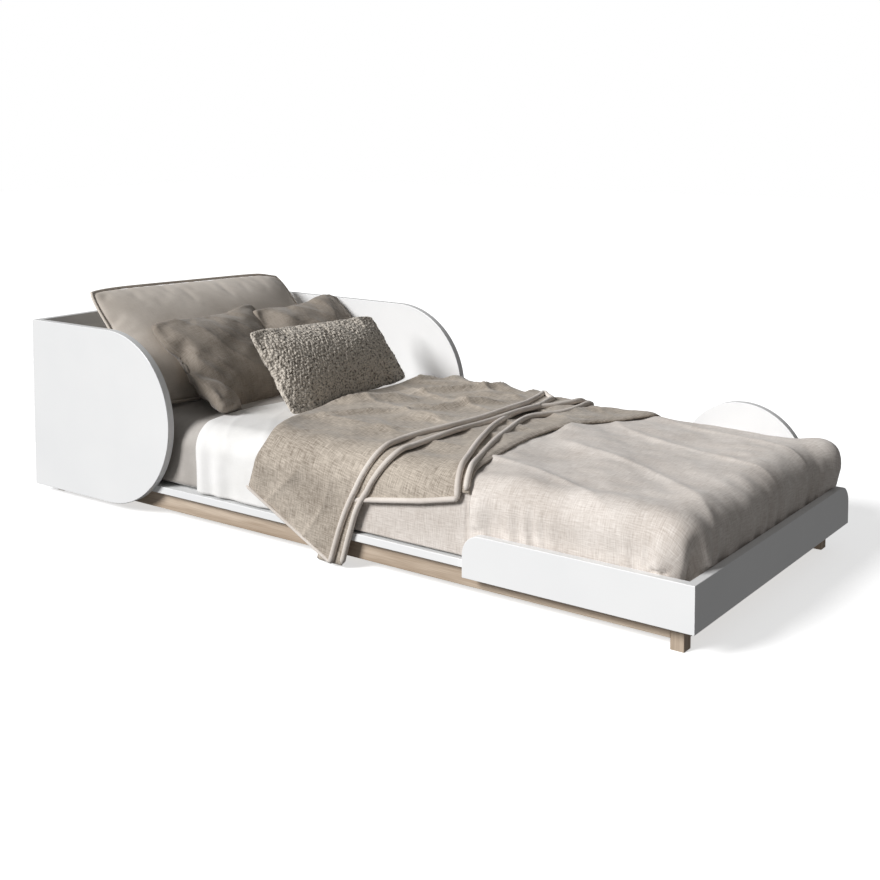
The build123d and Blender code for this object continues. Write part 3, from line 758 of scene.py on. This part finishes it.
def sewn_panels(width, height, spacing, corner):
    """Two flat panels that share their sewn edge: points, faces, the seam loop and flat coordinates."""
    nx, ny = int(width / spacing), int(height / spacing)
    u = np.linspace(-1, 1, nx + 1)
    v = np.linspace(-1, 1, ny + 1)
    grid_u, grid_v = np.meshgrid(u, v, indexing="ij")
    nip = corner * (np.abs(grid_u) * np.abs(grid_v)) ** 6
    x = grid_u * width / 2 - np.sign(grid_u) * nip
    y = grid_v * height / 2 - np.sign(grid_v) * nip
    swell = 6.0 * (1 - grid_u**6) * (1 - grid_v**6) + 1.0
    edge = (np.abs(grid_u) > 0.999) | (np.abs(grid_v) > 0.999)
    front = np.arange((nx + 1) * (ny + 1)).reshape(nx + 1, ny + 1)
    back = front.copy()
    back[~edge] = front.size + np.arange((~edge).sum())
    points = np.concatenate(
        [
            np.stack([x, y, np.where(edge, 0.0, swell)], -1).reshape(-1, 3),
            np.stack([x, y, -swell], -1)[~edge],
        ]
    )
    flat = np.concatenate([np.stack([x, y], -1).reshape(-1, 2), np.stack([x, y], -1)[~edge]])
    faces = []
    for grid, flip in ((front, False), (back, True)):
        quads = np.stack([grid[:-1, :-1], grid[1:, :-1], grid[1:, 1:], grid[:-1, 1:]], -1).reshape(-1, 4)
        faces += (quads[:, ::-1] if flip else quads).tolist()
    seam = list(front[:, 0]) + list(front[-1, 1:]) + list(front[-2::-1, -1]) + list(front[0, -2:0:-1])
    return points, faces, [int(i) for i in seam], flat


SIM_FRAMES = 20


def blow_up(item, seam, pressure, slack):
    """Fills a cover whose seam is held, by a short cloth simulation of slightly larger cloth."""
    held = item.vertex_groups.new(name="seam")
    held.add(seam, 1.0, "REPLACE")
    cloth_modifier = item.modifiers.new("Fill", "CLOTH")
    settings = cloth_modifier.settings
    settings.quality = 6
    settings.mass = 0.2
    settings.tension_stiffness = 14.0
    settings.compression_stiffness = 14.0
    settings.shear_stiffness = 6.0
    settings.bending_stiffness = 0.12
    settings.air_damping = 2.0
    settings.use_pressure = True
    settings.uniform_pressure_force = pressure
    settings.shrink_min = -slack
    settings.vertex_group_mass = "seam"
    settings.effector_weights.gravity = 0.0
    cloth_modifier.point_cache.frame_start = 1
    cloth_modifier.point_cache.frame_end = SIM_FRAMES
    scene = bpy.context.scene
    for number in range(1, SIM_FRAMES + 1):
        scene.frame_set(number)
    evaluated = item.evaluated_get(bpy.context.evaluated_depsgraph_get())
    points = np.array([v.co for v in evaluated.data.vertices], float) / MM
    item.modifiers.remove(cloth_modifier)
    item.vertex_groups.clear()
    scene.frame_set(1)
    return points


def swollen(points, width, height, depth, bow):
    """The plain filled shape that the simulation starts from."""
    u = np.clip(np.abs(points[:, 0]) / (width / 2), 0, 1)
    v = np.clip(np.abs(points[:, 1]) / (height / 2), 0, 1)
    rise = depth / 2 * ((1 - u**2.4) * (1 - v**2.4)) ** 0.6
    made = points.copy()
    made[:, 2] = np.sign(points[:, 2]) * rise
    made[:, 0] *= 1 - bow * (1 - v**2)
    made[:, 1] *= 1 - bow * (1 - u**2)
    return made


PANEL_CORNER = 10.0
PRESSURE = 5.0


def stuffed(name, finish, shape, size, centre, tilt, turn, spacing=11.0, bow=0.03, slack=0.05, subdivide=1):
    """A stuffed cover: sewn panels, filled, shaped by a point function and put in its place."""
    width, height, depth = size
    points, faces, seam, flat = sewn_panels(width, height, spacing, PANEL_CORNER)
    filled = swollen(points, width, height, depth, bow)
    item = make_mesh(name, filled, faces, flat * MM, finish)
    filled = blow_up(item, seam, PRESSURE, slack)
    thickness = np.ptp(filled[:, 2])
    filled[:, 2] *= depth / thickness
    item.data.vertices.foreach_set("co", (filled * MM).ravel())
    seam_path = place(centre, tilt, turn, shape(filled[seam]))
    finer = item.modifiers.new("Finer", "SUBSURF")
    finer.levels = subdivide
    finer.render_levels = subdivide
    evaluated = item.evaluated_get(bpy.context.evaluated_depsgraph_get())
    mesh = bpy.data.meshes.new_from_object(evaluated)
    item.modifiers.remove(finer)
    old = item.data
    item.data = mesh
    bpy.data.meshes.remove(old)
    mesh.name = name
    local = np.array([v.co for v in mesh.vertices], float) / MM
    world = place(centre, tilt, turn, shape(local))
    mesh.vertices.foreach_set("co", (world * MM).ravel())
    mesh.polygons.foreach_set("use_smooth", [True] * len(mesh.polygons))
    mesh.update()
    return item, seam_path


def backrest_shape(p):
    """The big cushion: a fuller back, a sloping top edge and a slightly rounded far top corner."""
    made = p.copy()
    made[:, 2] = np.where(p[:, 2] < 0, p[:, 2] * 1.25, p[:, 2])
    far_corner = smooth(p[:, 0], 270, 360) * smooth(p[:, 1], 120, 192)
    made[:, 1] -= 8.0 * far_corner + 0.032 * p[:, 0]
    made[:, 0] -= 4.0 * far_corner
    return made


def face_side(p):
    """1 on a pillow's front face, -1 on its back, and 0 close to the seam."""
    return np.sign(p[:, 2]) * (np.abs(p[:, 2]) > 6)


def near_pillow_shape(p):
    """The near linen pillow: raised far corner, one ear folded forward on the sheet, soft dents."""
    made = p.copy()
    dents = creases(p[:, 0], p[:, 1], 130.0, seed=61, heading=0.9, spread=0.5)
    made[:, 2] += 4.0 * dents * face_side(p)
    made[:, 2] += 2.0 * waves(p[:, 0], p[:, 1], 90.0, seed=63)
    raised = smooth(p[:, 0], 90, 200) * smooth(p[:, 1], 50, 150)
    made[:, 0] += 14.0 * raised
    made[:, 1] += 18.0 * raised
    ear = smooth(-p[:, 0] - 0.7 * p[:, 1], 130, 290)
    groove = np.exp(-(((ear - 0.30) / 0.16) ** 2)) * (p[:, 2] > 0)
    made[:, 2] = made[:, 2] * (1 + 0.9 * ear) + 80.0 * ear - 22.0 * groove
    made[:, 1] -= 38.0 * ear
    made[:, 0] -= 36.0 * ear
    waist = np.exp(-(((p[:, 0] + 190) / 40) ** 2)) * np.exp(-(((p[:, 1] - 20) / 40) ** 2))
    made[:, 0] += 26.0 * waist
    return made


def far_pillow_shape(p):
    """The far linen pillow: slack, with a peaked far corner and slanting dents."""
    made = p.copy()
    dents = creases(p[:, 0], p[:, 1], 120.0, seed=71, heading=0.5, spread=0.5)
    made[:, 2] += 5.0 * dents * face_side(p)
    made[:, 2] += 2.5 * waves(p[:, 0], p[:, 1], 100.0, seed=73)
    peak = np.exp(-(((p[:, 0] - 105) / 60) ** 2)) * smooth(p[:, 1], 20, 150)
    made[:, 1] += 16.0 * peak
    made[:, 2] += 8.0 * peak
    return made


def boucle_shape(p):
    """The boucle pillow: lower at its far end, with small loops raised on its faces."""
    made = p.copy()
    made[:, 1] *= 1 - 0.09 * p[:, 0] / 250.0
    loop_height = 1.5 * smooth(np.abs(p[:, 2]), 0, 8) * np.sign(p[:, 2])
    made[:, 2] += loop_height * waves(p[:, 0], p[:, 1], 10.0, seed=81, count=24)
    return made


cushion, cushion_seam = stuffed(
    "backrest_cushion_cover",
    finishes["cushion"],
    backrest_shape,
    size=(724.0, 388.0, 130.0),
    centre=(-710.0, 18.0, 403.0),
    tilt=42.7,
    turn=0.0,
    spacing=13.0,
    bow=0.005,
    slack=0.015,
)
cushion_piping = tube("backrest_piping", cushion_seam, 4.0, finishes["cushion"], closed=True)
near_pillow, _ = stuffed(
    "near_linen_pillow",
    finishes["pillow_linen"],
    near_pillow_shape,
    size=(400.0, 330.0, 110.0),
    centre=(-572.0, -78.0, 356.0),
    tilt=45.0,
    turn=0.0,
)
far_pillow, _ = stuffed(
    "far_linen_pillow",
    finishes["pillow_linen"],
    far_pillow_shape,
    size=(360.0, 310.0, 100.0),
    centre=(-532.0, 240.0, 360.0),
    tilt=45.0,
    turn=-8.0,
)
boucle, _ = stuffed(
    "boucle_cushion",
    finishes["boucle"],
    boucle_shape,
    size=(500.0, 246.0, 96.0),
    centre=(-302.0, 36.0, 368.0),
    tilt=38.0,
    turn=0.0,
    spacing=8.0,
    subdivide=2,
)
for item, node_name, body, slot_name, fill in (
    (cushion, "backrest_cushion", "backrest", "cushion_cloth", 0.85),
    (near_pillow, "linen_pillow_near", "near_pillow", "pillow_linen", 0.5),
    (far_pillow, "linen_pillow_far", "far_pillow", "pillow_linen", 0.5),
    (boucle, "boucle_pillow", "front_pillow", "boucle", 0.7),
):
    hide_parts(node_name)
    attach(item, body)
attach(cushion_piping, "backrest")

# ---- Floor, light and camera ----
FLOOR_SIZE = 14000.0
FLOOR_Z = -0.5
KEY_FROM = (-1.9, -3.8, 2.5)
KEY_SPREAD = 22.0
KEY_STRENGTH = 3.7
AMBIENT = 0.17
CAMERA_AT = (1.985, -2.605, 1.010)
CAMERA_DOWN = 4.326
CAMERA_TURN = 36.119
CAMERA_LENS = 53.18
CAMERA_SHIFT = -0.25
floor_points = np.array([(-1, -1, 0), (1, -1, 0), (1, 1, 0), (-1, 1, 0)], float) * FLOOR_SIZE
floor_points[:, 2] = FLOOR_Z


def pale(tree):
    """The plain pale studio floor."""
    place_coordinates = add_node(tree, "ShaderNodeTexCoord").outputs["Object"]
    cloud = speckle(tree, place_coordinates, (1, 1, 1), 2.0)
    colour = tint(tree, cloud, [(0.3, (0.93, 0.93, 0.93)), (0.7, (0.94, 0.94, 0.94))])
    return colour, between(tree, cloud, 0.85, 0.9), cloud, 0.00001


FLOOR_GLOW = {"Emission Color": (1.0, 1.0, 1.0, 1.0), "Emission Strength": 0.6}
floor_finish = surface("floor", pale, FLOOR_GLOW)
floor = make_mesh("floor", floor_points, [[0, 1, 2, 3]], floor_points[:, :2] * MM, floor_finish)
floor.visible_diffuse = False
floor.visible_glossy = False

scene = bpy.context.scene
scene.view_settings.view_transform = "Standard"
world = bpy.data.worlds.new("studio")
scene.world = world
world.use_nodes = True
backdrop = world.node_tree.nodes["Background"]
backdrop.inputs["Color"].default_value = (1.0, 1.0, 1.0, 1.0)
rays = add_node(world.node_tree, "ShaderNodeLightPath")
seen = add_node(world.node_tree, "ShaderNodeMapRange")
seen.inputs["To Min"].default_value = AMBIENT
seen.inputs["To Max"].default_value = 1.0
world.node_tree.links.new(rays.outputs["Is Camera Ray"], seen.inputs["Value"])
world.node_tree.links.new(seen.outputs[0], backdrop.inputs["Strength"])


def soft_light(name, source, spread, strength):
    """Even soft light that comes from the direction of a point and spreads over some degrees."""
    data = bpy.data.lights.new(name, "SUN")
    data.angle = math.radians(spread)
    data.energy = strength
    item = bpy.data.objects.new(name, data)
    scene.collection.objects.link(item)
    item.rotation_euler = Vector(source).to_track_quat("Z", "Y").to_euler()
    return item


soft_light("key", KEY_FROM, KEY_SPREAD, KEY_STRENGTH)

camera_data = bpy.data.cameras.new("photo_camera")
camera_data.lens = CAMERA_LENS
camera_data.shift_y = CAMERA_SHIFT
camera = bpy.data.objects.new("photo_camera", camera_data)
scene.collection.objects.link(camera)
camera.location = CAMERA_AT
camera.rotation_euler = (math.radians(90 - CAMERA_DOWN), 0.0, math.radians(CAMERA_TURN))
scene.camera = camera
